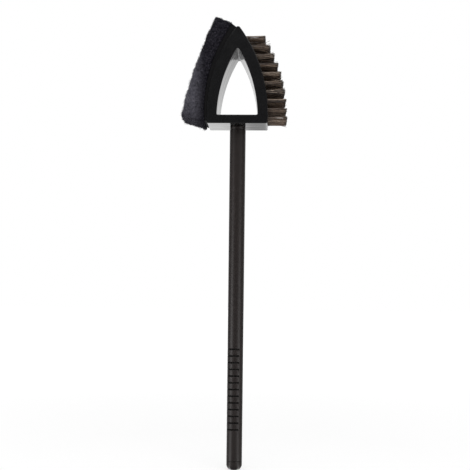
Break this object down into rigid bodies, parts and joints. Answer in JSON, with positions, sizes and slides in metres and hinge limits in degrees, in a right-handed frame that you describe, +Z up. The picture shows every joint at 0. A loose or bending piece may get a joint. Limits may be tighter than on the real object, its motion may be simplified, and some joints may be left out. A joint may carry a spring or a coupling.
{
  "type": "grill brush",
  "caption": "Long-handled grill brush with a pointed-arch head: bristle tufts on one side, a thick scouring pad on the other, and a round handle with grip grooves.",
  "frame": {"origin": "centre of the small flat face at the handle's end, on the handle's axis", "axes": "+Z up the handle to the head's tip, +X to the bristles, -X to the pad, -Y out of the head's front face"},
  "size_m": [0.1248, 0.052, 0.5292],
  "materials": {
    "gloss_black": "moulded, glossy black",
    "handle_black": "moulded, satin warm black",
    "matt_black": "moulded, dull black",
    "pad_fibre": "open black non-woven fibre",
    "bristle": "stiff brown filaments",
    "steel": "bright zinc-plated",
    "brass": "machined"
  },
  "bodies": {
    "handle": {"handle_tube": "handle_black", "handle_end_cap": "handle_black", "handle_top_plug": "handle_black"},
    "washer": {"neck_washer": "matt_black"},
    "head": {"head_shell": "gloss_black", "back_cover": "gloss_black", "cover_screw_tip": "steel", "cover_screw_web_left": "steel", "cover_screw_web_right": "steel", "cover_screw_side": "steel", "cover_screw_block": "steel", "brush_block": "matt_black", "socket_insert": "brass", "tuft_row_01": "bristle", "tuft_row_02": "bristle", "tuft_row_03": "bristle", "tuft_row_04": "bristle", "tuft_row_05": "bristle", "tuft_row_06": "bristle", "tuft_row_07": "bristle", "tuft_row_08": "bristle", "tuft_row_09": "bristle", "tuft_row_10": "bristle"},
    "pad": {"pad_carrier": "matt_black", "scouring_pad": "pad_fibre"}
  },
  "joints": [
    {"name": "head_turn", "type": "hinge", "parent": "handle", "child": "washer", "pos_m": [0, 0, 0.4032], "axis": [0, 0, 1], "range_deg": [0, 630]},
    {"name": "head_lift", "type": "slide", "parent": "washer", "child": "head", "axis": [0, 0, 1], "range_m": [0, 0.00701]},
    {"name": "pad_slide", "type": "slide", "parent": "head", "child": "pad", "axis": [0, 1, 0], "range_m": [0, 0.046]}
  ],
  "couplings": [
    {"joint": "head_lift", "follows": "head_turn", "m_per_rad": 0.00063662}
  ]
}
